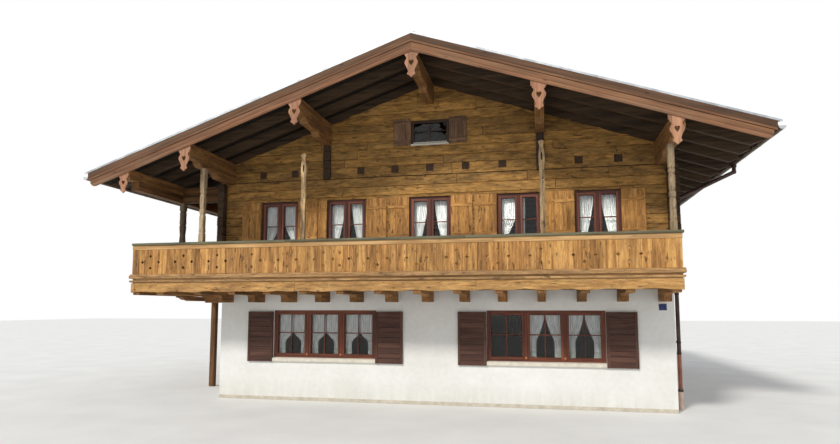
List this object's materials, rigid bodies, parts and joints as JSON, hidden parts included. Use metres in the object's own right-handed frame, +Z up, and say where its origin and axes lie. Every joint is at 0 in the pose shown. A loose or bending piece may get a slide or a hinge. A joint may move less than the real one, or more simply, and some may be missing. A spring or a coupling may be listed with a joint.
{
  "type": "alpine chalet",
  "caption": "Alpine chalet with a plastered ground storey, a log upper storey and gable, a broad low-pitched roof and a timber balcony round the front and one side.",
  "frame": {"origin": "middle of the house's footprint, on the underside of the plinth", "axes": "+X to the right along the front, +Y from the front to the back, +Z up"},
  "size_m": [15.1526, 15.476, 8.2663],
  "materials": {
    "render_base": "rough render",
    "plaster": "matt lime plaster",
    "log_wood": "weathered hewn logs",
    "dark_wood": "dark weathered timber",
    "floor_boards": "bare boards",
    "roof_tile": "weathered clay",
    "verge_wood": "weathered boards",
    "sheet_metal": "dull grey sheet",
    "brown_metal": "dark brown, semi-gloss",
    "balcony_wood": "honey-coloured boards",
    "post_wood": "carved, light",
    "frame_wood": "red-brown stain",
    "pane": "clear",
    "shutter_wood": "dark brown stain",
    "plate_enamel": "blue enamel"
  },
  "bodies": {
    "root": {"plinth": "render_base", "ground_floor": "render_base", "front_wall": "plaster", "right_wall": "plaster", "back_wall": "plaster", "left_wall": "plaster", "upper_floor": "floor_boards", "front_log_wall": "log_wood", "right_log_wall": "log_wood", "back_log_wall": "log_wood", "left_log_wall": "log_wood", "front_gable": "log_wood", "back_gable": "log_wood", "attic_joists": "dark_wood", "attic_floor": "floor_boards", "log_heads": "log_wood", "purlins": "log_wood", "corbels": "log_wood", "rafters": "dark_wood", "roof_boards_left": "dark_wood", "roof_boards_right": "dark_wood", "roof_tiles_left": "roof_tile", "roof_tiles_right": "roof_tile", "ridge_tiles": "roof_tile", "bargeboards": "verge_wood", "verge_flashing": "sheet_metal", "pendants": "verge_wood", "gutters": "brown_metal", "downpipes": "brown_metal", "balcony_joists": "dark_wood", "balcony_deck": "floor_boards", "balcony_fascia": "balcony_wood", "parapet_boards": "balcony_wood", "parapet_rails": "balcony_wood", "corner_posts": "post_wood", "slender_posts": "post_wood", "gallery_frame": "dark_wood", "ground_windows": "frame_wood", "upper_windows": "frame_wood", "window_glass": "pane", "window_sills": "plaster", "ground_shutters": "shutter_wood", "upper_shutters": "balcony_wood", "doors": "dark_wood", "number_plate": "plate_enamel"}
  },
  "joints": []
}
